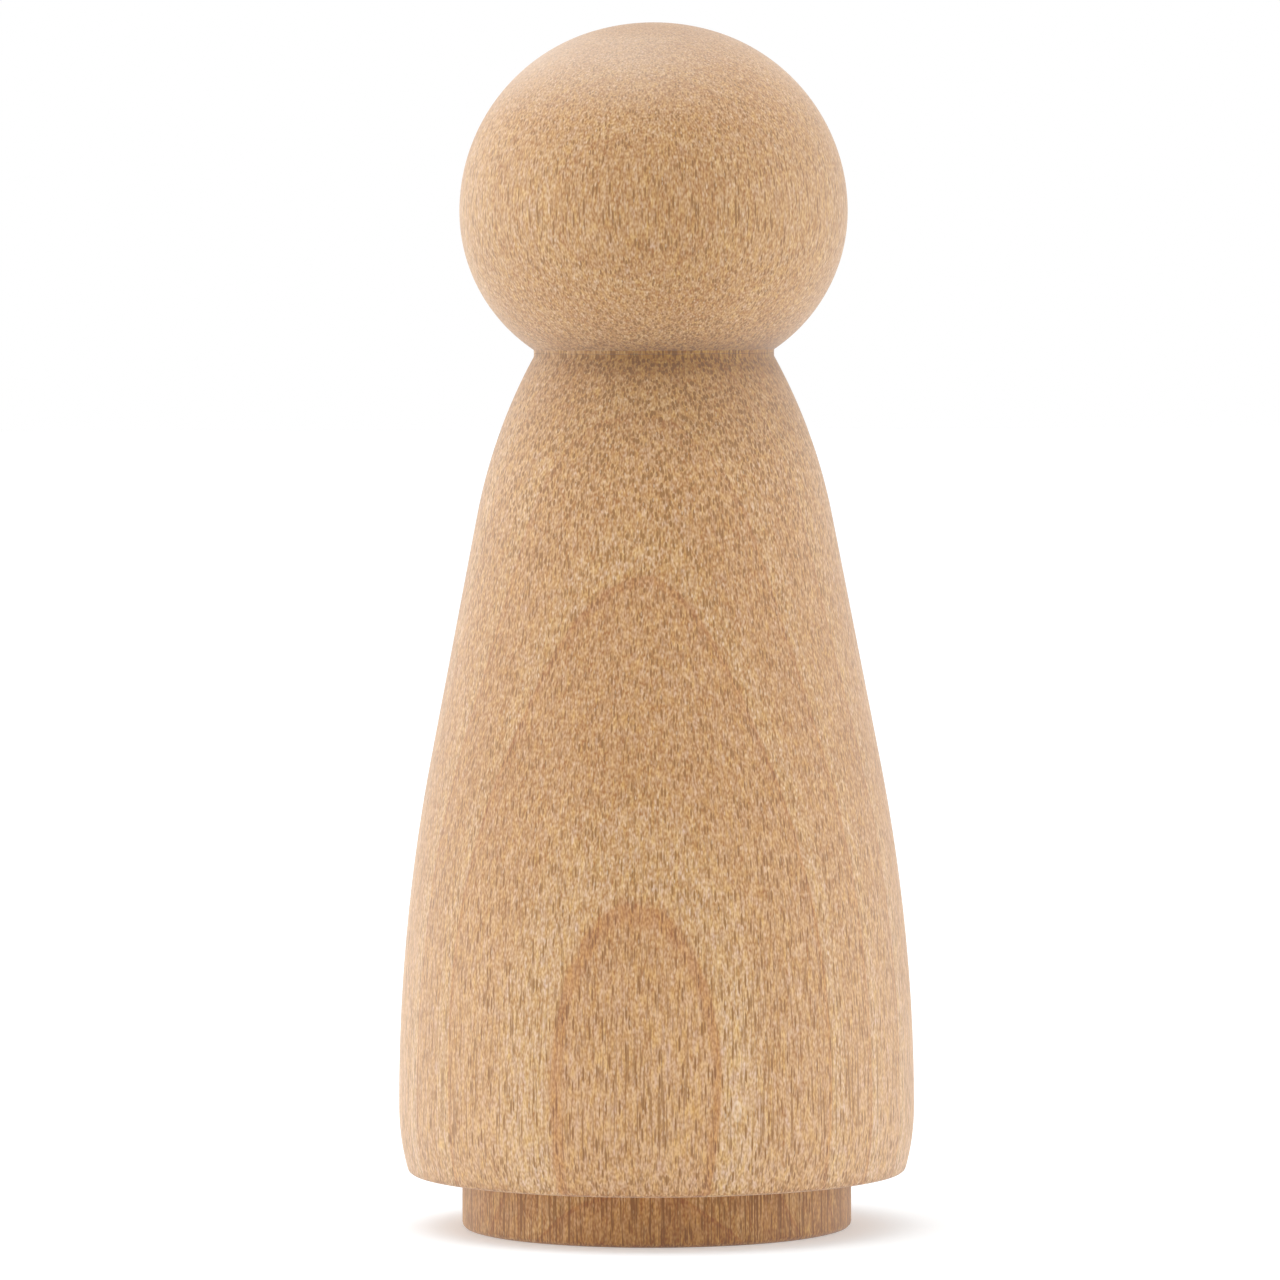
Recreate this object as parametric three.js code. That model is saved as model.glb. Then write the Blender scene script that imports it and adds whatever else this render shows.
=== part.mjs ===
// A wooden peg figure, built up from four turned pieces: a ball head, a bell-shaped body, a fluted
// dowel that pins the head to the body, and a round foot whose spigot sits in the body.
// Millimetres, +Z up. The origin is the centre of the foot's underside, and Z is the turning axis.
import * as THREE from "three";

// Overall sizes
const HEIGHT = 88.9;
const BODY_RADIUS = 19.05;
const BODY_WIDEST_AT = 8.9;
const HEAD_RADIUS = 14.3;
const HEAD_WIDEST_AT = 75.05;

// Foot: a disc that the figure stands on, with a spigot that centres it in the body
const FOOT_RADIUS = 14.4;
const FOOT_HEIGHT = 4.1;
const FOOT_EDGE_RADIUS = 0.4;
const SPIGOT_RADIUS = 6.35;
const SPIGOT_LENGTH = 10;
const SPIGOT_CHAMFER = 0.8;

// Body outline, from the underside up: corner, lower curve, belly, straight cone, shoulder
const CORNER_RADIUS = 0.7;
const LOWER_CURVE_RADIUS = 16.9;
const BELLY_RADIUS = 136;
const CONE_LEAN = THREE.MathUtils.degToRad(11);
const NECK_LEAN = THREE.MathUtils.degToRad(28.8);

// Neck: the narrow wall at the bottom of the groove, where head and body meet half way up
const NECK_RADIUS = 8.85;
const SHOULDER_TOP = 64.35;

// Head outline: one arc below the widest point, and two above it
const JAW_ARC_RADIUS = 12.3;
const CROWN_RADIUS = 15.65;

// Dowel, and the blind holes drilled for it and for the spigot
const DOWEL_RADIUS = 4;
const DOWEL_LENGTH = 28;
const DOWEL_CHAMFER_LENGTH = 0.8;
const DOWEL_CHAMFER_DEPTH = 0.3;
const FLUTE_COUNT = 12;
const FLUTE_DEPTH = 0.4;
const FLUTE_FLOOR_SHARE = 0.16;
const LAND_SHARE = 0.6;
const GLUE_CLEARANCE = 0.1;
const HOLE_SPARE_DEPTH = 1;
const DRILL_POINT_ANGLE = THREE.MathUtils.degToRad(118);

// How finely round shapes are divided
const SEGMENTS_AROUND = 64;
const ARC_DIVISIONS = 3;

const { sin, cos, tan, asin, acos, atan2, PI } = Math;

// Where the head's lower arc reaches the neck wall
const jawCentreRadius = HEAD_RADIUS - JAW_ARC_RADIUS;
const jawEndAngle = -acos((NECK_RADIUS - jawCentreRadius) / JAW_ARC_RADIUS);
const jawEnd = HEAD_WIDEST_AT + JAW_ARC_RADIUS * sin(jawEndAngle);
const neckJoint = (SHOULDER_TOP + jawEnd) / 2;

/** A solid of revolution about Z, from an outline of Vector2(radius, z) that starts and ends on the axis. */
function turned(outline) {
  const onAxis = outline.map(({ x, y }) => new THREE.Vector2(Math.max(x, 0), y));
  return new THREE.LatheGeometry(onAxis, SEGMENTS_AROUND).rotateX(PI / 2);
}

/** Depth of the cone that a drill of this radius leaves at the bottom of a blind hole. */
function drillPoint(radius) {
  return radius / tan(DRILL_POINT_ANGLE / 2);
}

/** Ball head, with a blind hole in its underside for the dowel. */
function headGeometry() {
  const holeRadius = DOWEL_RADIUS + GLUE_CLEARANCE;
  const holeTop = neckJoint + DOWEL_LENGTH / 2 + HOLE_SPARE_DEPTH;

  // The crown's arc is centred on the axis, and the temple's arc joins it to the widest point.
  const crownCentre = HEIGHT - CROWN_RADIUS;
  const rise = HEAD_WIDEST_AT - crownCentre;
  const templeRadius =
    (CROWN_RADIUS ** 2 - HEAD_RADIUS ** 2 - rise ** 2) / (2 * (CROWN_RADIUS - HEAD_RADIUS));
  const templeCentreRadius = HEAD_RADIUS - templeRadius;
  const crownStart = atan2(rise, templeCentreRadius);

  const outline = new THREE.Path();
  outline.moveTo(0, holeTop + drillPoint(holeRadius));
  outline.lineTo(holeRadius, holeTop);
  outline.lineTo(holeRadius, neckJoint);
  outline.lineTo(NECK_RADIUS, neckJoint);
  outline.absarc(jawCentreRadius, HEAD_WIDEST_AT, JAW_ARC_RADIUS, jawEndAngle, 0);
  outline.absarc(templeCentreRadius, HEAD_WIDEST_AT, templeRadius, 0, crownStart);
  outline.absarc(0, crownCentre, CROWN_RADIUS, crownStart, PI / 2);
  return turned(outline.getPoints(ARC_DIVISIONS));
}

/** Where the body's shoulder leaves the straight cone, and the radius of the arc from there to the neck. */
function shoulderArc(coneStart) {
  // The arc's chord leans half way between its two ends. It meets the cone's line at the arc's start.
  const chordLean = (CONE_LEAN + NECK_LEAN) / 2;
  const inward = coneStart.x - NECK_RADIUS;
  const upward = SHOULDER_TOP - coneStart.y;
  const coneLength =
    (upward * sin(chordLean) - inward * cos(chordLean)) / sin(chordLean - CONE_LEAN);
  const start = new THREE.Vector2(
    coneStart.x - coneLength * sin(CONE_LEAN),
    coneStart.y + coneLength * cos(CONE_LEAN),
  );
  const chord = start.distanceTo(new THREE.Vector2(NECK_RADIUS, SHOULDER_TOP));
  return { start, radius: chord / (2 * sin((NECK_LEAN - CONE_LEAN) / 2)) };
}

/** Bell-shaped body, with a blind hole at the top for the dowel and one below for the foot's spigot. */
function bodyGeometry() {
  const spigotHoleRadius = SPIGOT_RADIUS + GLUE_CLEARANCE;
  const spigotHoleTop = FOOT_HEIGHT + SPIGOT_LENGTH + HOLE_SPARE_DEPTH;
  const dowelHoleRadius = DOWEL_RADIUS + GLUE_CLEARANCE;
  const dowelHoleFloor = neckJoint - DOWEL_LENGTH / 2 - HOLE_SPARE_DEPTH;

  // The corner's arc and the lower curve share a tangent that leans out by cornerEnd.
  const cornerEnd = asin(
    (BODY_WIDEST_AT - FOOT_HEIGHT - CORNER_RADIUS) / (LOWER_CURVE_RADIUS - CORNER_RADIUS),
  );
  const lowerCentreRadius = BODY_RADIUS - LOWER_CURVE_RADIUS;
  const cornerCentre = new THREE.Vector2(
    lowerCentreRadius + (LOWER_CURVE_RADIUS - CORNER_RADIUS) * cos(cornerEnd),
    FOOT_HEIGHT + CORNER_RADIUS,
  );

  const bellyCentreRadius = BODY_RADIUS - BELLY_RADIUS;
  const coneStart = new THREE.Vector2(
    bellyCentreRadius + BELLY_RADIUS * cos(CONE_LEAN),
    BODY_WIDEST_AT + BELLY_RADIUS * sin(CONE_LEAN),
  );
  const shoulder = shoulderArc(coneStart);
  const shoulderCentre = new THREE.Vector2(
    shoulder.start.x - shoulder.radius * cos(CONE_LEAN),
    shoulder.start.y - shoulder.radius * sin(CONE_LEAN),
  );

  const outline = new THREE.Path();
  outline.moveTo(0, spigotHoleTop + drillPoint(spigotHoleRadius));
  outline.lineTo(spigotHoleRadius, spigotHoleTop);
  outline.lineTo(spigotHoleRadius, FOOT_HEIGHT);
  outline.absarc(cornerCentre.x, cornerCentre.y, CORNER_RADIUS, -PI / 2, -cornerEnd);
  outline.absarc(lowerCentreRadius, BODY_WIDEST_AT, LOWER_CURVE_RADIUS, -cornerEnd, 0);
  outline.absarc(bellyCentreRadius, BODY_WIDEST_AT, BELLY_RADIUS, 0, CONE_LEAN);
  outline.absarc(shoulderCentre.x, shoulderCentre.y, shoulder.radius, CONE_LEAN, NECK_LEAN);
  outline.lineTo(NECK_RADIUS, neckJoint);
  outline.lineTo(dowelHoleRadius, neckJoint);
  outline.lineTo(dowelHoleRadius, dowelHoleFloor);
  outline.lineTo(0, dowelHoleFloor - drillPoint(dowelHoleRadius));
  return turned(outline.getPoints(ARC_DIVISIONS));
}

/** Foot: a disc with a rounded lower edge, turned in one piece with its chamfered spigot. */
function footGeometry() {
  const spigotTop = FOOT_HEIGHT + SPIGOT_LENGTH;
  const undersideRadius = FOOT_RADIUS - FOOT_EDGE_RADIUS;
  const outline = new THREE.Path();
  outline.moveTo(0, 0);
  outline.lineTo(undersideRadius, 0);
  outline.absarc(undersideRadius, FOOT_EDGE_RADIUS, FOOT_EDGE_RADIUS, -PI / 2, 0);
  outline.lineTo(FOOT_RADIUS, FOOT_HEIGHT);
  outline.lineTo(SPIGOT_RADIUS, FOOT_HEIGHT);
  outline.lineTo(SPIGOT_RADIUS, spigotTop - SPIGOT_CHAMFER);
  outline.lineTo(SPIGOT_RADIUS - SPIGOT_CHAMFER, spigotTop);
  outline.lineTo(0, spigotTop);
  return turned(outline.getPoints(ARC_DIVISIONS));
}

/** Dowel with straight flutes along it and a chamfer at each end, standing on its own centre. */
function dowelGeometry() {
  // The corners of one pitch: two for the land, then two for the flute's floor. Each has its share
  // of the pitch and its radius.
  const floorRadius = DOWEL_RADIUS - FLUTE_DEPTH;
  const corners = [
    [-LAND_SHARE / 2, DOWEL_RADIUS],
    [LAND_SHARE / 2, DOWEL_RADIUS],
    [(1 - FLUTE_FLOOR_SHARE) / 2, floorRadius],
    [(1 + FLUTE_FLOOR_SHARE) / 2, floorRadius],
  ];
  const points = [];
  for (let flute = 0; flute < FLUTE_COUNT; flute++) {
    for (const [share, radius] of corners) {
      const angle = ((flute + share) * 2 * PI) / FLUTE_COUNT;
      points.push(new THREE.Vector2(radius * cos(angle), radius * sin(angle)));
    }
  }
  const geometry = new THREE.ExtrudeGeometry(new THREE.Shape(points), {
    depth: DOWEL_LENGTH - 2 * DOWEL_CHAMFER_LENGTH,
    bevelSegments: 1,
    bevelThickness: DOWEL_CHAMFER_LENGTH,
    bevelSize: DOWEL_CHAMFER_DEPTH,
    bevelOffset: -DOWEL_CHAMFER_DEPTH,
  });
  return geometry.translate(0, 0, DOWEL_CHAMFER_LENGTH - DOWEL_LENGTH / 2);
}

/** A named mesh in bare, sanded wood of the given colour. */
function woodenPiece(name, geometry, colour) {
  const wood = new THREE.MeshStandardMaterial({ color: colour, roughness: 0.75, metalness: 0 });
  const mesh = new THREE.Mesh(geometry, wood);
  mesh.name = name;
  return mesh;
}

const PALE_HARDWOOD = 0xd6b48c;
const BEECH = 0xcda274;

const dowel = woodenPiece("neck_dowel", dowelGeometry(), BEECH);
dowel.position.z = neckJoint;

const figure = new THREE.Group();
figure.add(
  woodenPiece("head", headGeometry(), PALE_HARDWOOD),
  dowel,
  woodenPiece("body", bodyGeometry(), PALE_HARDWOOD),
  woodenPiece("foot", footGeometry(), PALE_HARDWOOD),
);

export default figure;
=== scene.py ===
"""A turned wooden peg figure on a pale studio floor.

The figure's own frame is used throughout: metres, +Z up, the origin at the centre of the foot's
underside, and the front facing -Y. Outlines and grain are worked out in millimetres.
"""

import math
from typing import NamedTuple

import bmesh
import bpy
from mathutils import Euler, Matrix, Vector, noise


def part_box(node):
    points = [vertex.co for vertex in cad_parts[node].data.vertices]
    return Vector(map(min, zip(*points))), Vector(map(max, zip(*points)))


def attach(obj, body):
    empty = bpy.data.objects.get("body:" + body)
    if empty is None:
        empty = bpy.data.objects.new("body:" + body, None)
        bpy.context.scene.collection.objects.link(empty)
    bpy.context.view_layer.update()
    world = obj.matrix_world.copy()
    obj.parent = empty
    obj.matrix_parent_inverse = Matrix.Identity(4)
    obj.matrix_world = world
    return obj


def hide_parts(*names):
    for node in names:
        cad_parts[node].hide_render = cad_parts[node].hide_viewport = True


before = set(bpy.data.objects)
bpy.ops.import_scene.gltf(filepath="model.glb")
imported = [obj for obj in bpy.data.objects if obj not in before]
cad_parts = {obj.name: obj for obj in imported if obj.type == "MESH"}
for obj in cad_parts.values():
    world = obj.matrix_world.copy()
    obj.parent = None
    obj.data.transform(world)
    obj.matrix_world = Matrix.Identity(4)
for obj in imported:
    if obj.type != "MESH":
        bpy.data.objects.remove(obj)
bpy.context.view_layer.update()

MM = 0.001

# ---------------------------------------------------------------------------------------------
# Sizes from the frame, in millimetres
# ---------------------------------------------------------------------------------------------
head_low, head_high = (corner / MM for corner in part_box("head"))
body_low, body_high = (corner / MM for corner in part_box("body"))
foot_low, foot_high = (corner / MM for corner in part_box("foot"))
dowel_low, dowel_high = (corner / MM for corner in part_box("neck_dowel"))

HEIGHT = head_high.z
NECK_JOINT = head_low.z
HEAD_RADIUS = head_high.x
BODY_RADIUS = body_high.x
FOOT_HEIGHT = body_low.z
FOOT_RADIUS = foot_high.x
SPIGOT_TOP = foot_high.z

# Outline heights, radii and leans of the turned shapes, as the CAD pieces have them
HEAD_WIDEST_AT = 75.05
JAW_ARC_RADIUS = 12.3
CROWN_RADIUS = 15.65
NECK_RADIUS = 8.85
SHOULDER_TOP = 64.35
BODY_WIDEST_AT = 8.9
LOWER_CURVE_RADIUS = 16.9
BELLY_RADIUS = 136
CONE_LEAN = math.radians(11)
NECK_LEAN = math.radians(28.8)
FOOT_EDGE_RADIUS = 0.4
SPIGOT_RADIUS = 6.35
SPIGOT_CHAMFER = 0.8
DOWEL_RADIUS = 4
FLUTE_COUNT = 12
FLUTE_DEPTH = 0.4
GLUE_CLEARANCE = 0.1
HOLE_SPARE_DEPTH = 1
DRILL_POINT_ANGLE = math.radians(118)
DRILL_POINT_SLOPE = 1 / math.tan(DRILL_POINT_ANGLE / 2)

# Edges that differ from the CAD pieces: the body's lower corner is sharper, the dowel's chamfers
# are at 45 degrees, and the edges at the joints are eased.
CORNER_RADIUS = 0.4
DOWEL_CHAMFER = 0.6
EASED_EDGE = 0.04

# How finely the surfaces are divided, and what counts as one point, on the axis or a sharp edge
OUTLINE_STEP = 0.4
STEPS_AROUND = 256
SAME_POINT = 1e-4
ON_AXIS = 1e-6
SHARP_EDGE = math.radians(40)

# Sanding leaves a turned surface out of true: by how much, over what width and over what height
WOBBLE = 0.03
WOBBLE_WIDTH = 9
WOBBLE_HEIGHT = 26


# ---------------------------------------------------------------------------------------------
# Outlines: lists of (radius, height) in millimetres
# ---------------------------------------------------------------------------------------------
def arc(centre, radius, start, end):
    """Points along an arc, about one outline step apart. Angles are from the horizontal."""
    count = max(3, math.ceil(abs(end - start) * radius / OUTLINE_STEP))
    angles = [start + (end - start) * i / count for i in range(count + 1)]
    return [(centre[0] + radius * math.cos(a), centre[1] + radius * math.sin(a)) for a in angles]


def line(start, end):
    """Points along a straight line, about one outline step apart."""
    (r0, z0), (r1, z1) = start, end
    count = max(1, math.ceil(math.dist(start, end) / OUTLINE_STEP))
    return [(r0 + (r1 - r0) * i / count, z0 + (z1 - z0) * i / count) for i in range(count + 1)]


def joined(*stretches):
    """One outline from several stretches, without the points that two of them share."""
    outline = []
    for stretch in stretches:
        for point in stretch:
            if not outline or math.dist(point, outline[-1]) > SAME_POINT:
                outline.append(point)
    return outline


def polyline(*corners):
    """A finely divided outline through these corners."""
    return joined(*(line(a, b) for a, b in zip(corners, corners[1:])))


def head_outline():
    """Ball head: dowel hole, joint face, neck wall, then the jaw, temple and crown arcs."""
    hole_radius = DOWEL_RADIUS + GLUE_CLEARANCE
    hole_top = dowel_high.z + HOLE_SPARE_DEPTH
    jaw_centre = (HEAD_RADIUS - JAW_ARC_RADIUS, HEAD_WIDEST_AT)
    jaw_end = -math.acos((NECK_RADIUS - jaw_centre[0]) / JAW_ARC_RADIUS)
    crown_centre = (0, HEIGHT - CROWN_RADIUS)
    rise = HEAD_WIDEST_AT - crown_centre[1]
    temple_radius = (CROWN_RADIUS**2 - HEAD_RADIUS**2 - rise**2) / (2 * (CROWN_RADIUS - HEAD_RADIUS))
    temple_centre = (HEAD_RADIUS - temple_radius, HEAD_WIDEST_AT)
    crown_start = math.atan2(rise, temple_centre[0])
    return joined(
        polyline(
            (0, hole_top + hole_radius * DRILL_POINT_SLOPE),
            (hole_radius, hole_top),
            (hole_radius, NECK_JOINT + EASED_EDGE),
            (hole_radius + EASED_EDGE, NECK_JOINT),
            (NECK_RADIUS - EASED_EDGE, NECK_JOINT),
        ),
        arc((NECK_RADIUS - EASED_EDGE, NECK_JOINT + EASED_EDGE), EASED_EDGE, -math.pi / 2, 0),
        arc(jaw_centre, JAW_ARC_RADIUS, jaw_end, 0),
        arc(temple_centre, temple_radius, 0, crown_start),
        arc(crown_centre, CROWN_RADIUS, crown_start, math.pi / 2),
    )


def shoulder_arc(cone_start):
    """Start, centre and radius of the arc from the straight cone to the neck."""
    chord_lean = (CONE_LEAN + NECK_LEAN) / 2
    inward = cone_start[0] - NECK_RADIUS
    upward = SHOULDER_TOP - cone_start[1]
    beside_chord = upward * math.sin(chord_lean) - inward * math.cos(chord_lean)
    cone_length = beside_chord / math.sin(chord_lean - CONE_LEAN)
    start = (
        cone_start[0] - cone_length * math.sin(CONE_LEAN),
        cone_start[1] + cone_length * math.cos(CONE_LEAN),
    )
    chord = math.dist(start, (NECK_RADIUS, SHOULDER_TOP))
    radius = chord / (2 * math.sin((NECK_LEAN - CONE_LEAN) / 2))
    centre = (start[0] - radius * math.cos(CONE_LEAN), start[1] - radius * math.sin(CONE_LEAN))
    return start, centre, radius


def body_outline():
    """Bell-shaped body, from the spigot's hole around the outside to the dowel's hole."""
    spigot_hole_radius = SPIGOT_RADIUS + GLUE_CLEARANCE
    spigot_hole_top = SPIGOT_TOP + HOLE_SPARE_DEPTH
    dowel_hole_radius = DOWEL_RADIUS + GLUE_CLEARANCE
    dowel_hole_floor = dowel_low.z - HOLE_SPARE_DEPTH
    corner_end = math.asin(
        (BODY_WIDEST_AT - FOOT_HEIGHT - CORNER_RADIUS) / (LOWER_CURVE_RADIUS - CORNER_RADIUS)
    )
    lower_centre = (BODY_RADIUS - LOWER_CURVE_RADIUS, BODY_WIDEST_AT)
    corner_centre = (
        lower_centre[0] + (LOWER_CURVE_RADIUS - CORNER_RADIUS) * math.cos(corner_end),
        FOOT_HEIGHT + CORNER_RADIUS,
    )
    belly = arc((BODY_RADIUS - BELLY_RADIUS, BODY_WIDEST_AT), BELLY_RADIUS, 0, CONE_LEAN)
    shoulder_start, shoulder_centre, shoulder_radius = shoulder_arc(belly[-1])
    return joined(
        polyline(
            (0, spigot_hole_top + spigot_hole_radius * DRILL_POINT_SLOPE),
            (spigot_hole_radius, spigot_hole_top),
            (spigot_hole_radius, FOOT_HEIGHT + EASED_EDGE),
            (spigot_hole_radius + EASED_EDGE, FOOT_HEIGHT),
            (corner_centre[0], FOOT_HEIGHT),
        ),
        arc(corner_centre, CORNER_RADIUS, -math.pi / 2, -corner_end),
        arc(lower_centre, LOWER_CURVE_RADIUS, -corner_end, 0),
        belly,
        line(belly[-1], shoulder_start),
        arc(shoulder_centre, shoulder_radius, CONE_LEAN, NECK_LEAN),
        polyline((NECK_RADIUS, SHOULDER_TOP), (NECK_RADIUS, NECK_JOINT - EASED_EDGE)),
        arc((NECK_RADIUS - EASED_EDGE, NECK_JOINT - EASED_EDGE), EASED_EDGE, 0, math.pi / 2),
        polyline(
            (NECK_RADIUS - EASED_EDGE, NECK_JOINT),
            (dowel_hole_radius + EASED_EDGE, NECK_JOINT),
            (dowel_hole_radius, NECK_JOINT - EASED_EDGE),
            (dowel_hole_radius, dowel_hole_floor),
            (0, dowel_hole_floor - dowel_hole_radius * DRILL_POINT_SLOPE),
        ),
    )


def foot_outline():
    """Round foot with an eased lower edge, and its chamfered spigot."""
    edge_centre = (FOOT_RADIUS - FOOT_EDGE_RADIUS, FOOT_EDGE_RADIUS)
    return joined(
        line((0, 0), (edge_centre[0], 0)),
        arc(edge_centre, FOOT_EDGE_RADIUS, -math.pi / 2, 0),
        line((FOOT_RADIUS, FOOT_EDGE_RADIUS), (FOOT_RADIUS, FOOT_HEIGHT - EASED_EDGE)),
        arc((FOOT_RADIUS - EASED_EDGE, FOOT_HEIGHT - EASED_EDGE), EASED_EDGE, 0, math.pi / 2),
        polyline(
            (FOOT_RADIUS - EASED_EDGE, FOOT_HEIGHT),
            (SPIGOT_RADIUS, FOOT_HEIGHT),
            (SPIGOT_RADIUS, SPIGOT_TOP - SPIGOT_CHAMFER),
            (SPIGOT_RADIUS - SPIGOT_CHAMFER, SPIGOT_TOP),
            (0, SPIGOT_TOP),
        ),
    )


def dowel_outline():
    """Straight pin with a chamfer at each end. Its flutes are pressed in afterwards."""
    return polyline(
        (0, dowel_low.z),
        (DOWEL_RADIUS - DOWEL_CHAMFER, dowel_low.z),
        (DOWEL_RADIUS, dowel_low.z + DOWEL_CHAMFER),
        (DOWEL_RADIUS, dowel_high.z - DOWEL_CHAMFER),
        (DOWEL_RADIUS - DOWEL_CHAMFER, dowel_high.z),
        (0, dowel_high.z),
    )


# ---------------------------------------------------------------------------------------------
# Meshes
# ---------------------------------------------------------------------------------------------
def sanded(radius, angle, height):
    """How far the surface stands out of true here, in millimetres. Heights stay as they are."""
    spot = Vector((radius * math.cos(angle), radius * math.sin(angle), height))
    spot = Vector((spot.x / WOBBLE_WIDTH, spot.y / WOBBLE_WIDTH, spot.z / WOBBLE_HEIGHT))
    return WOBBLE * noise.noise(spot) * min(1, radius / NECK_RADIUS)


def fluted(radius, angle, height):
    """How far the dowel's flutes push its surface out here, in millimetres: a negative amount.

    They fade at its ends, and leave the middles of its end faces flat.
    """
    from_end = min(height - dowel_low.z, dowel_high.z - height)
    fading = min(1, max(0, from_end / DOWEL_CHAMFER))
    groove = max(0, math.cos(FLUTE_COUNT * (angle - math.pi / FLUTE_COUNT))) ** 2
    return -FLUTE_DEPTH * groove * fading * (radius > DOWEL_RADIUS / 2)


def turned(name, outline, relief):
    """A closed mesh turned about Z from an outline that starts and ends on the axis."""
    mesh = bmesh.new()
    angles = [2 * math.pi * i / STEPS_AROUND for i in range(STEPS_AROUND)]
    rings = []
    for radius, height in outline:
        if radius < ON_AXIS:
            rings.append([mesh.verts.new((0, 0, height * MM))])
            continue
        ring = []
        for angle in angles:
            r = radius + relief(radius, angle, height)
            spot = (r * math.cos(angle) * MM, r * math.sin(angle) * MM, height * MM)
            ring.append(mesh.verts.new(spot))
        rings.append(ring)
    for lower, upper in zip(rings, rings[1:]):
        for i in range(STEPS_AROUND):
            j = (i + 1) % STEPS_AROUND
            corners = [
                lower[i % len(lower)],
                lower[j % len(lower)],
                upper[j % len(upper)],
                upper[i % len(upper)],
            ]
            # A ring of one point, on the axis, gives the same corner twice.
            mesh.faces.new(list(dict.fromkeys(corners)))
    bmesh.ops.recalc_face_normals(mesh, faces=mesh.faces)
    data = bpy.data.meshes.new(name)
    mesh.to_mesh(data)
    mesh.free()
    data.shade_smooth()
    data.set_sharp_from_angle(angle=SHARP_EDGE)
    piece = bpy.data.objects.new(name, data)
    bpy.context.scene.collection.objects.link(piece)
    return piece


# ---------------------------------------------------------------------------------------------
# Wood, as a solid pattern that every surface cuts through. Lengths are in millimetres.
# ---------------------------------------------------------------------------------------------
class Noise(NamedTuple):
    """A noise pattern: its cells per millimetre along X, Y and Z, its detail and its strength."""

    frequency: tuple
    detail: float
    strength: float = 1.0


class Dashes(NamedTuple):
    """Scattered dashes: their cells per millimetre along X, Y and Z, a shift that keeps this kind
    apart from the others, and a profile of (distance from a dash's centre, strength) stops."""

    frequency: tuple
    shift: tuple
    profile: list


# The lists by height below use these: a little above the foot, and the figure's top, rounded up.
ABOVE_FOOT = FOOT_HEIGHT + 0.1
TOP = math.ceil(HEIGHT)

# Fibres: a fine grain, threads and streaks along Z, and broad patches
FINE_GRAIN = Noise((8.5, 8.5, 3.6), detail=0.0, strength=1.35)
THREADS = Noise((3.8, 3.8, 0.75), detail=1.0, strength=0.7)
STREAKS = Noise((4.2, 4.2, 0.10), detail=2.0, strength=0.7)
PATCHES = Noise((0.16, 0.16, 0.07), detail=2.0, strength=0.25)

# Fine variation between a warmer and a cooler hue
HUES = Noise((3.1, 3.1, 0.9), detail=1.0)

# Dark marks: short pores, long lines where a cut runs along the fibres, and specks where it leans
# across them and opens the pores. Pale marks: the raised ends of fibres, with painted glints on
# them.
PORES = Dashes((4.2, 4.2, 0.55), shift=(0, 0, 0), profile=[(0.22, 1.0), (0.40, 0.0)])
LONG_LINES = Noise((6.5, 6.5, 0.13), detail=1.0, strength=0.45)
LONG_LINE_PROFILE = [(0.33, 1.0), (0.43, 0.0)]
SPECKS = Dashes((3.2, 3.2, 1.4), shift=(2.9, 8.3, 5.7), profile=[(0.20, 1.0), (0.42, 0.0)])
FLECKS = Dashes((4.4, 4.4, 1.4), shift=(7.3, 1.9, 4.1), profile=[(0.14, 1.0), (0.32, 0.0)])
PORE_STRENGTH = 1.7
FLECK_STRENGTH = 0.5

# How strongly the long fibres show, and how open the pores are: (height, strength)
LONG_FIBRES = [
    (0, 2.2),
    (FOOT_HEIGHT, 2.2),
    (ABOVE_FOOT, 1.0),
    (9, 1.0),
    (45, 0.35),
    (TOP, 0.2),
]
OPEN_PORES = [(30, 0.0), (48, 0.7), (58, 1.7), (66, 1.7), (68, 0.0), (TOP, 0.0)]

# The figure's lower part is paler, by this much at most: (height, share)
PALING = 0.22
PALER_HEIGHTS = [(ABOVE_FOOT, 0.0), (5.0, 1.0), (34, 0.0)]

# Where a surface leans across the fibres, their open ends make it darker, by this much at most.
OPEN_END_DARKENING = 0.15

# Growth rings: their common centre line, the pith, runs behind the figure. It is at PITH_DISTANCE
# at the height PITH_LEVEL_AT, and leans back by PITH_LEAN millimetres per millimetre. Below
# FLARE_BELOW it also bends back, by FLARE times the square of the depth below that height.
PITH_DISTANCE = 40
PITH_AZIMUTH = math.radians(6)
PITH_LEAN = 0.023
PITH_LEVEL_AT = 27
FLARE_BELOW = 9
FLARE = 0.03

# The outer radius of the outermost ring, and the rings' widths from that one inwards
RING_OUTERMOST = 62.14
RING_WIDTHS = (4.1, 3.54, 2.8, 3.4, 3.9, 3.1, 3.6, 2.9, 3.3, 3.8, 3.2, 3.5)

# How far the rings stray, with their strength in millimetres
RING_SWAY = Noise((0.10, 0.10, 0.03), detail=1.0, strength=0.6)
RING_SHIVER = Noise((0.9, 0.9, 0.12), detail=2.0, strength=0.14)

# How dark each ring is from the line that starts it to the next: (share of its width, strength)
RING_STAIN = [
    (0.00, 1.0),
    (0.016, 0.55),
    (0.06, 0.48),
    (0.14, 0.42),
    (0.35, 0.38),
    (0.60, 0.38),
    (0.76, 0.10),
    (0.86, 0.0),
    (0.94, 0.05),
    (0.966, 0.3),
    (0.976, 1.0),
    (1.00, 1.0),
]

# How clearly the rings show: (height, share of their strength)
RINGS_SEEN = [(0, 1.0), (22, 1.0), (40, 0.9), (52, 0.75), (58, 0.4), (TOP, 0.35)]
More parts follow.
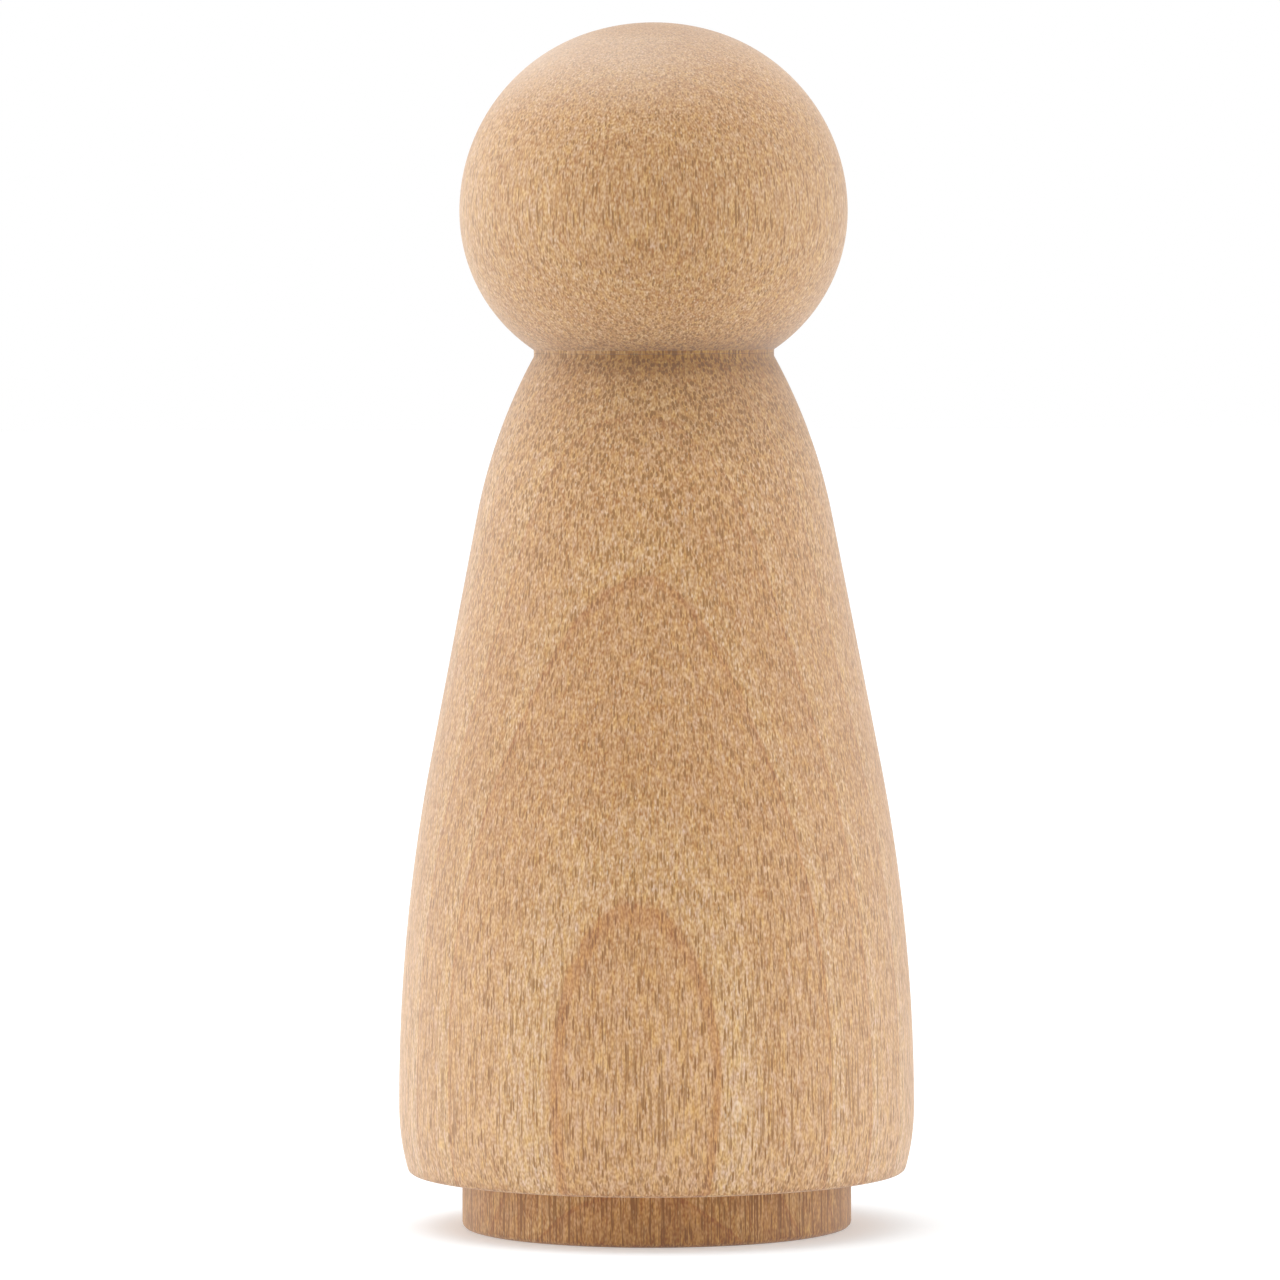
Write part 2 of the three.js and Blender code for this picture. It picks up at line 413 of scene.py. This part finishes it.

# The grain's colours, from its darkest to its palest, and the colours of its marks. The spread from
# brown to pale is partly the grain's own and partly painted glints on its fibres.
BROWN = (0.278, 0.101, 0.004, 1)
TAN = (0.420, 0.234, 0.087, 1)
PALE = (0.568, 0.376, 0.216, 1)
PORE = (0.225, 0.096, 0.006, 1)
FLECK = (0.680, 0.540, 0.410, 1)
# A painted highlight for the crown, where the light falls from above
CROWN_HIGHLIGHT = (0.60, 0.50, 0.42, 1)

# Colours that multiply the grain's: its two hues, a ring's stain, painted shade that is partly
# darker wood, and the foot's tint
WARM = (1.06, 1.00, 0.40, 1)
COOL = (0.94, 1.00, 1.60, 1)
STAIN = (0.84, 0.66, 0.42, 1)
SHADE = (0.66, 0.56, 0.24, 1)
FOOT_TINT = (1.06, 0.99, 0.80, 1)

# Painted shade, partly darker wood: most of all in the neck groove under the head and at the bottom
# of the foot, less over the head and its crown: (height, share of SHADE)
SHADED_HEIGHTS = [
    (0.0, 0.85),
    (1.6, 0.55),
    (FOOT_HEIGHT, 0.18),
    (ABOVE_FOOT, 0.0),
    (56.0, 0.0),
    (60.0, 0.36),
    (62.7, 0.50),
    (63.6, 1.00),
    (64.9, 1.00),
    (65.7, 0.45),
    (67.0, 0.22),
    (69.5, 0.24),
    (79.0, 0.24),
    (84.0, 0.06),
    (86.0, 0.10),
    (87.8, 0.24),
]

# The painted shade is weaker on the left, where more light falls: (share of the body's width from
# left to right, strength)
SHADE_WEAKER_LEFT = [(0.29, 0.30), (0.48, 1.0)]

# Where the foot's tint is: (height, share)
FOOT_SHARE = [(0, 1.0), (FOOT_HEIGHT, 1.0), (ABOVE_FOOT, 0.0), (TOP, 0.0)]

# A painted highlight on the crown, where the light falls from above: (how far the surface faces up,
# share of the highlight colour), weaker on the right, away from the light: (share of the body's
# width from left to right, strength)
HIGHLIGHT_SLOPES = [(0.48, 0.0), (0.80, 0.29), (0.90, 0.26), (1.0, 0.0)]
HIGHLIGHT_WEAKER_RIGHT = [(0.47, 1.0), (0.68, 0.25)]

# A small pale nick low on the front: its place, how distances from it are scaled, and its profile
# of (scaled distance, strength) stops
NICK_AT = (5.8, -18.0, 10.3)
NICK_SCALE = (1.5, 0.1, 0.62)
NICK_PROFILE = [(0.22, 0.05), (0.34, 0.32), (0.44, 0.32), (0.52, 0.0)]

# The sanded surface
ROUGHNESS = 0.68
ROUGHNESS_VARIATION = 0.1
BUMP_STRENGTH = 0.5
BUMP_DEPTH = 0.012
SHINE = 0.35
SHEEN = 0.32
SHEEN_ROUGHNESS = 0.75

WHITE = (1, 1, 1, 1)


class Nodes:
    """A material's node tree, with short ways to add and join its nodes."""

    def __init__(self, name):
        self.material = bpy.data.materials.new(name)
        self.material.use_nodes = True
        self.tree = self.material.node_tree
        self.shader = self.tree.nodes["Principled BSDF"]

    def add(self, kind, inputs=None, **settings):
        """A new node with these settings. An input is a value, or a socket to link from."""
        made = self.tree.nodes.new(kind)
        for key, value in settings.items():
            setattr(made, key, value)
        for key, value in (inputs or {}).items():
            self.feed(made.inputs[key], value)
        return made

    def feed(self, socket, value):
        """Links a socket, or sets its value."""
        if isinstance(value, bpy.types.NodeSocket):
            self.tree.links.new(value, socket)
        else:
            socket.default_value = value

    def surface(self, inputs):
        """Feeds these inputs of the material's shader."""
        for key, value in inputs.items():
            self.feed(self.shader.inputs[key], value)

    def math(self, operation, *values):
        """A math node's output."""
        return self.add("ShaderNodeMath", dict(enumerate(values)), operation=operation).outputs[0]

    def vector(self, operation, *values):
        """A vector math node's output."""
        made = self.add("ShaderNodeVectorMath", dict(enumerate(values)), operation=operation)
        return made.outputs[0]

    def length(self, vector):
        """The length of a vector."""
        made = self.add("ShaderNodeVectorMath", {0: vector}, operation="LENGTH")
        return made.outputs["Value"]

    def ramp(self, value, stops):
        """A grey ramp through (position, level) stops."""
        made = self.add("ShaderNodeValToRGB", {"Fac": value})
        elements = made.color_ramp.elements
        while len(elements) < len(stops):
            elements.new(1.0)
        for element, (position, level) in zip(elements, stops):
            element.position = position
            element.color = (level, level, level, 1)
        return made.outputs["Color"]

    def mix(self, amount, first, second, blend="MIX"):
        """A colour mix node's output."""
        made = self.add("ShaderNodeMix", data_type="RGBA", blend_type=blend)
        self.feed(made.inputs["Factor"], amount)
        self.feed(made.inputs["A"], first)
        self.feed(made.inputs["B"], second)
        return made.outputs["Result"]


class WoodNodes(Nodes):
    """The patterns of bare, close-grained hardwood with its fibres along Z."""

    def __init__(self, name, shift):
        super().__init__(name)
        in_metres = self.add("ShaderNodeTexCoord").outputs["Object"]
        self.place = self.vector("MULTIPLY", in_metres, (1 / MM,) * 3)
        self.grain = self.vector("ADD", self.place, shift)
        x, _, self.height = self.add("ShaderNodeSeparateXYZ", {0: self.place}).outputs
        # A share of the body's width: 0 at its left edge, 0.5 at its middle and 1 at its right edge
        self.from_left = self.math("MULTIPLY_ADD", x, 0.5 / BODY_RADIUS, 0.5)
        normal = self.add("ShaderNodeNewGeometry").outputs["Normal"]
        self.facing_up = self.add("ShaderNodeSeparateXYZ", {0: normal}).outputs["Z"]

    def by_height(self, stops):
        """A grey ramp through (height, level) stops."""
        last = stops[-1][0]
        shares = [(height / last, level) for height, level in stops]
        return self.ramp(self.math("DIVIDE", self.height, last), shares)

    def noise(self, pattern):
        """Noise about 0.5, in this pattern."""
        where = self.vector("MULTIPLY", self.grain, pattern.frequency)
        inputs = {"Vector": where, "Scale": 1.0, "Detail": pattern.detail}
        return self.add("ShaderNodeTexNoise", inputs, noise_dimensions="3D").outputs["Fac"]

    def swing(self, noise, pattern):
        """This pattern's noise, moved to lie about 0 and made as strong as the pattern is."""
        return self.math("MULTIPLY", self.math("SUBTRACT", noise, 0.5), pattern.strength)

    def dashes(self, kind):
        """Scattered dashes of this kind, each of its own strength from 0 to 1."""
        where = self.vector("MULTIPLY", self.vector("ADD", self.grain, kind.shift), kind.frequency)
        inputs = {"Vector": where, "Scale": 1.0}
        cells = self.add("ShaderNodeTexVoronoi", inputs, voronoi_dimensions="3D")
        strength = self.add("ShaderNodeSeparateColor", {0: cells.outputs["Color"]}).outputs[0]
        return self.math("MULTIPLY", self.ramp(cells.outputs["Distance"], kind.profile), strength)

    def lightness(self, threads, long_fibred):
        """How light the grain is at each point, about 0."""
        fine_grain = self.swing(self.noise(FINE_GRAIN), FINE_GRAIN)
        streaks = self.swing(self.noise(STREAKS), STREAKS)
        patches = self.swing(self.noise(PATCHES), PATCHES)
        light = self.math("ADD", fine_grain, self.swing(threads, THREADS))
        light = self.math("ADD", light, self.math("MULTIPLY", streaks, long_fibred))
        light = self.math("ADD", light, patches)
        open_ends = self.math("ABSOLUTE", self.facing_up)
        light = self.math("MULTIPLY_ADD", open_ends, -OPEN_END_DARKENING, light)
        return self.math("MULTIPLY_ADD", self.by_height(PALER_HEIGHTS), PALING, light)

    def pores(self, long_fibred):
        """The dark marks: short pores, long lines and specks, whichever is strongest."""
        lines = self.ramp(self.noise(LONG_LINES), LONG_LINE_PROFILE)
        lines = self.math("MULTIPLY", lines, long_fibred)
        lines = self.math("MULTIPLY", lines, LONG_LINES.strength)
        specks = self.math("MULTIPLY", self.dashes(SPECKS), self.by_height(OPEN_PORES))
        return self.math("MAXIMUM", self.math("MAXIMUM", self.dashes(PORES), lines), specks)

    def ring_phase(self):
        """How far through its growth ring each point is, from 0 at the ring's inner edge to 1."""
        x, y, z = self.add("ShaderNodeSeparateXYZ", {0: self.grain}).outputs
        back = self.math("MULTIPLY_ADD", z, PITH_LEAN, PITH_DISTANCE - PITH_LEAN * PITH_LEVEL_AT)
        below = self.math("MAXIMUM", self.math("SUBTRACT", FLARE_BELOW, z), 0.0)
        back = self.math("MULTIPLY_ADD", self.math("MULTIPLY", below, below), FLARE, back)
        from_pith_x = self.math("MULTIPLY_ADD", back, -math.sin(PITH_AZIMUTH), x)
        from_pith_y = self.math("MULTIPLY_ADD", back, -math.cos(PITH_AZIMUTH), y)
        from_pith = self.add("ShaderNodeCombineXYZ", {0: from_pith_x, 1: from_pith_y}).outputs[0]
        radius = self.length(from_pith)
        for stray in (RING_SWAY, RING_SHIVER):
            radius = self.math("ADD", self.swing(self.noise(stray), stray), radius)

        # The rings are counted from the innermost outwards, and a phase is its count's fraction.
        all_rings = sum(RING_WIDTHS)
        from_innermost = self.math("SUBTRACT", radius, RING_OUTERMOST - all_rings)
        stops = [(0.0, 0.0)]
        for count, width in enumerate(reversed(RING_WIDTHS), start=1):
            stops.append((stops[-1][0] + width / all_rings, count / len(RING_WIDTHS)))
        counted = self.ramp(self.math("DIVIDE", from_innermost, all_rings), stops)
        return self.math("FRACT", self.math("MULTIPLY", counted, len(RING_WIDTHS)))

    def ring_stain(self):
        """How strongly each point is stained by the growth rings."""
        stain = self.ramp(self.ring_phase(), RING_STAIN)
        return self.math("MULTIPLY", stain, self.by_height(RINGS_SEEN))

    def shade(self):
        """How much painted shade, partly darker wood, each point has, as a share of SHADE."""
        less_shade_left = self.ramp(self.from_left, SHADE_WEAKER_LEFT)
        return self.math("MULTIPLY", self.by_height(SHADED_HEIGHTS), less_shade_left)

    def crown_highlight(self):
        """How much painted highlight, from the light above and to the left, each point has."""
        less_right = self.ramp(self.from_left, HIGHLIGHT_WEAKER_RIGHT)
        return self.math("MULTIPLY", self.ramp(self.facing_up, HIGHLIGHT_SLOPES), less_right)

    def nick(self):
        """How strongly the nick shows at each point."""
        from_nick = self.vector("SUBTRACT", self.place, NICK_AT)
        distance = self.length(self.vector("MULTIPLY", from_nick, NICK_SCALE))
        return self.ramp(distance, NICK_PROFILE)

    def colour(self, light, pores, flecks):
        """The wood's colour: grain, marks, rings, painted shade and crown highlight, and the foot's
        tint.
        """
        # The grain goes from brown to tan over the lower half of its levels, and then to pale.
        level = self.math("ADD", light, 0.5)
        lower_half = self.mix(self.math("MULTIPLY", level, 2.0), BROWN, TAN)
        colour = self.mix(self.math("MULTIPLY_ADD", level, 2.0, -1.0), lower_half, PALE)
        colour = self.mix(1.0, colour, self.mix(self.noise(HUES), WARM, COOL), "MULTIPLY")

        # Pores are darkest where shade is painted.
        shade = self.shade()
        pore_strength = self.math("ADD", shade, PORE_STRENGTH)
        colour = self.mix(self.math("MULTIPLY", pores, pore_strength), colour, PORE)
        # Pale flecks on raised fibre ends, partly painted glints.
        colour = self.mix(self.math("MULTIPLY", flecks, FLECK_STRENGTH), colour, FLECK)
        colour = self.mix(self.nick(), colour, FLECK)

        colour = self.mix(self.ring_stain(), colour, STAIN, "MULTIPLY")
        # Painted shade, partly darker wood, most of all in the neck groove and on the foot.
        colour = self.mix(shade, colour, SHADE, "MULTIPLY")
        # A painted highlight on the crown, where the light falls from above, weaker on the right.
        colour = self.mix(self.crown_highlight(), colour, CROWN_HIGHLIGHT)
        return self.mix(self.by_height(FOOT_SHARE), colour, FOOT_TINT, "MULTIPLY")


def wood(name, tone, shift=(0, 0, 0)):
    """Bare, sanded hardwood. Its tone multiplies its colour, and a shift moves it to other grain."""
    nodes = WoodNodes(name, shift)
    long_fibred = nodes.by_height(LONG_FIBRES)
    threads = nodes.noise(THREADS)
    light = nodes.lightness(threads, long_fibred)
    pores = nodes.pores(long_fibred)
    flecks = nodes.dashes(FLECKS)
    colour = nodes.colour(light, pores, flecks)
    relief = nodes.math("SUBTRACT", nodes.math("ADD", threads, flecks), pores)
    bump_inputs = {"Height": relief, "Strength": BUMP_STRENGTH, "Distance": BUMP_DEPTH * MM}
    nodes.surface(
        {
            "Base Color": nodes.mix(1.0, colour, (tone, tone, tone, 1), "MULTIPLY"),
            "Roughness": nodes.math("MULTIPLY_ADD", light, ROUGHNESS_VARIATION, ROUGHNESS),
            "Normal": nodes.add("ShaderNodeBump", bump_inputs).outputs[0],
            "Specular IOR Level": SHINE,
            "Sheen Weight": SHEEN,
            "Sheen Roughness": SHEEN_ROUGHNESS,
            "Sheen Tint": WHITE,
        }
    )
    return nodes.material


# ---------------------------------------------------------------------------------------------
# The figure
# ---------------------------------------------------------------------------------------------
turned_wood = wood("turned_wood", tone=1.22)
dowel_wood = wood("dowel_wood", tone=0.9, shift=(23, 31, 17))

# Each piece's name, outline, relief, CAD node, material and material slot

pieces = (
    ("turned_head", head_outline(), sanded, "head", turned_wood, "turned_wood"),
    ("turned_body", body_outline(), sanded, "body", turned_wood, "turned_wood"),
    ("turned_foot", foot_outline(), sanded, "foot", turned_wood, "turned_wood"),
    ("fluted_dowel", dowel_outline(), fluted, "neck_dowel", dowel_wood, "dowel_wood"),
)
for name, outline, relief, node, material, slot in pieces:
    piece = turned(name, outline, relief)
    piece.data.materials.append(material)
    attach(piece, "root")
    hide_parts(node)


# ---------------------------------------------------------------------------------------------
# Studio
# ---------------------------------------------------------------------------------------------
# The floor, in metres
FLOOR_HALF_WIDTH = 3.0
FLOOR_COLOUR = (0.81, 0.85, 0.88, 1)
FLOOR_ROUGHNESS = 0.9
FLOOR_SHINE = 0.2
FLOOR_GLOW = 0.26

# The light tent's opening, at its front: the Y of the directions to its middle, where the light is
# weakest, and to its edge, and the light's strength from its middle
OPENING_MIDDLE = -1.0
OPENING_EDGE = -0.5
OPENING_STRENGTH = 0.42

# Soft boxes: name, place and width in metres, and power in watts
SOFTBOXES = (
    ("left_softbox", (-0.60, -0.05, 0.10), 0.5, 1.0),
    ("right_softbox", (0.60, -0.05, 0.10), 0.5, 1.45),
    ("top_softbox", (-0.22, -0.05, 0.66), 0.6, 1.55),
    ("rim_softbox", (-0.50, 0.42, 0.25), 0.5, 0.4),
)

# The camera: its place, lens and sensor in millimetres, and how near and far it sees in metres
CAMERA_DISTANCE = 605.6
CAMERA_HEIGHT = 70.8
CAMERA_PITCH = math.radians(-2.59)
CAMERA_YAW = math.radians(0.105)
CAMERA_ROLL = math.radians(-0.2)
LENS = 230.9
SENSOR = 36
NEAREST_SEEN = 0.01
FARTHEST_SEEN = 20


def add_floor():
    """A wide, plain, pale floor."""
    signs = [(-1, -1), (1, -1), (1, 1), (-1, 1)]
    corners = [(x * FLOOR_HALF_WIDTH, y * FLOOR_HALF_WIDTH, 0) for x, y in signs]
    data = bpy.data.meshes.new("floor")
    data.from_pydata(corners, [], [range(4)])
    nodes = Nodes("floor")
    nodes.surface(
        {
            "Base Color": FLOOR_COLOUR,
            "Roughness": FLOOR_ROUGHNESS,
            "Specular IOR Level": FLOOR_SHINE,
            "Emission Color": WHITE,
            "Emission Strength": FLOOR_GLOW,
        }
    )
    data.materials.append(nodes.material)
    floor = bpy.data.objects.new("floor", data)
    bpy.context.scene.collection.objects.link(floor)


def add_softbox(name, place, width, power):
    """A square soft light that faces the middle of the figure."""
    light = bpy.data.lights.new(name, "AREA")
    light.size = width
    light.energy = power
    box = bpy.data.objects.new(name, light)
    box.location = place
    aim = Vector((0, 0, HEIGHT * MM / 2)) - box.location
    box.rotation_euler = aim.to_track_quat("-Z", "Y").to_euler()
    bpy.context.scene.collection.objects.link(box)


def add_surroundings():
    """White light from all around, as in a light tent, but weaker from its opening at the front."""
    world = bpy.data.worlds.new("light_tent")
    world.use_nodes = True
    add = world.node_tree.nodes.new
    link = world.node_tree.links.new
    direction = add("ShaderNodeSeparateXYZ")
    link(add("ShaderNodeTexCoord").outputs["Generated"], direction.inputs[0])
    opening = add("ShaderNodeMapRange")
    link(direction.outputs["Y"], opening.inputs["Value"])
    opening.inputs["From Min"].default_value = OPENING_MIDDLE
    opening.inputs["From Max"].default_value = OPENING_EDGE
    opening.inputs["To Min"].default_value = OPENING_STRENGTH
    opening.inputs["To Max"].default_value = 1.0

    # The opening itself isn't seen: the backdrop is white from all sides.
    seen = add("ShaderNodeMath")
    seen.operation = "MAXIMUM"
    link(add("ShaderNodeLightPath").outputs["Is Camera Ray"], seen.inputs[0])
    link(opening.outputs["Result"], seen.inputs[1])
    background = world.node_tree.nodes["Background"]
    background.inputs["Color"].default_value = WHITE
    link(seen.outputs[0], background.inputs["Strength"])
    bpy.context.scene.world = world


def add_camera():
    """A long lens in front of the figure, a little above its middle and looking slightly down."""
    lens = bpy.data.cameras.new("camera")
    lens.lens = LENS
    lens.sensor_width = SENSOR
    lens.clip_start = NEAREST_SEEN
    lens.clip_end = FARTHEST_SEEN
    camera = bpy.data.objects.new("camera", lens)
    camera.location = (0, -CAMERA_DISTANCE * MM, CAMERA_HEIGHT * MM)
    level = Euler((math.pi / 2 + CAMERA_PITCH, 0, CAMERA_YAW)).to_matrix()
    camera.rotation_euler = (level @ Euler((0, 0, CAMERA_ROLL)).to_matrix()).to_euler()
    bpy.context.scene.collection.objects.link(camera)
    bpy.context.scene.camera = camera


add_floor()
add_surroundings()
for name, place, width, power in SOFTBOXES:
    add_softbox(name, place, width, power)
add_camera()
bpy.context.scene.view_settings.view_transform = "Standard"
